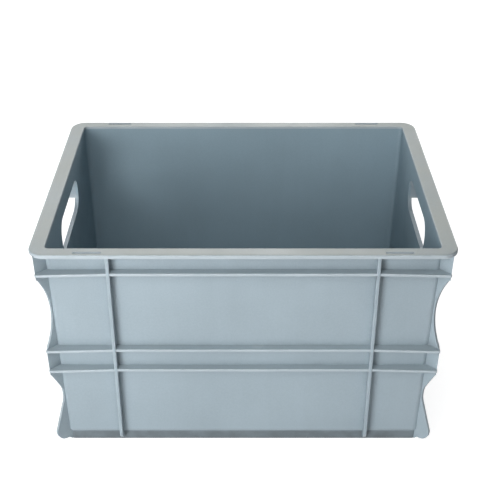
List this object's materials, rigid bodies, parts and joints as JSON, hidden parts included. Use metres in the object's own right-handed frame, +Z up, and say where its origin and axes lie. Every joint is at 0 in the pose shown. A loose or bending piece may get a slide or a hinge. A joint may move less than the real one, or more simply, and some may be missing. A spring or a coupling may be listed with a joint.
{
  "type": "stacking plastic crate",
  "caption": "Open-topped rectangular stacking crate in grey-blue plastic with a wide flat rim, outer ribs, scalloped corner webs and a hand hole in each end.",
  "frame": {"origin": "on the ground plane, under the middle of the crate", "axes": "+X along the 400 mm length, -Y towards the front long side, +Z up to the open top"},
  "size_m": [0.4, 0.3, 0.236],
  "materials": {
    "crate_plastic": "satin, lightly textured, moulded in grey-blue"
  },
  "bodies": {
    "root": {"corner_web_front_left": "crate_plastic", "corner_web_front_right": "crate_plastic", "corner_web_rear_left": "crate_plastic", "corner_web_rear_right": "crate_plastic", "floor": "crate_plastic", "floor_rib_grid": "crate_plastic", "foot_front": "crate_plastic", "foot_left": "crate_plastic", "foot_rear": "crate_plastic", "foot_right": "crate_plastic", "front_flange_lower": "crate_plastic", "front_flange_middle": "crate_plastic", "front_flange_upper": "crate_plastic", "front_rib_left": "crate_plastic", "front_rib_right": "crate_plastic", "front_wall": "crate_plastic", "hand_hole_frame_left": "crate_plastic", "hand_hole_frame_right": "crate_plastic", "left_end_rib_front": "crate_plastic", "left_end_rib_rear": "crate_plastic", "left_end_wall": "crate_plastic", "left_flange_lower": "crate_plastic", "left_flange_middle": "crate_plastic", "left_flange_upper": "crate_plastic", "rear_flange_lower": "crate_plastic", "rear_flange_middle": "crate_plastic", "rear_flange_upper": "crate_plastic", "rear_rib_left": "crate_plastic", "rear_rib_right": "crate_plastic", "rear_wall": "crate_plastic", "right_end_rib_front": "crate_plastic", "right_end_rib_rear": "crate_plastic", "right_end_wall": "crate_plastic", "right_flange_lower": "crate_plastic", "right_flange_middle": "crate_plastic", "right_flange_upper": "crate_plastic", "rim_front": "crate_plastic", "rim_left": "crate_plastic", "rim_rear": "crate_plastic", "rim_right": "crate_plastic", "wall_corner_front_left": "crate_plastic", "wall_corner_front_right": "crate_plastic", "wall_corner_rear_left": "crate_plastic", "wall_corner_rear_right": "crate_plastic"}
  },
  "joints": []
}
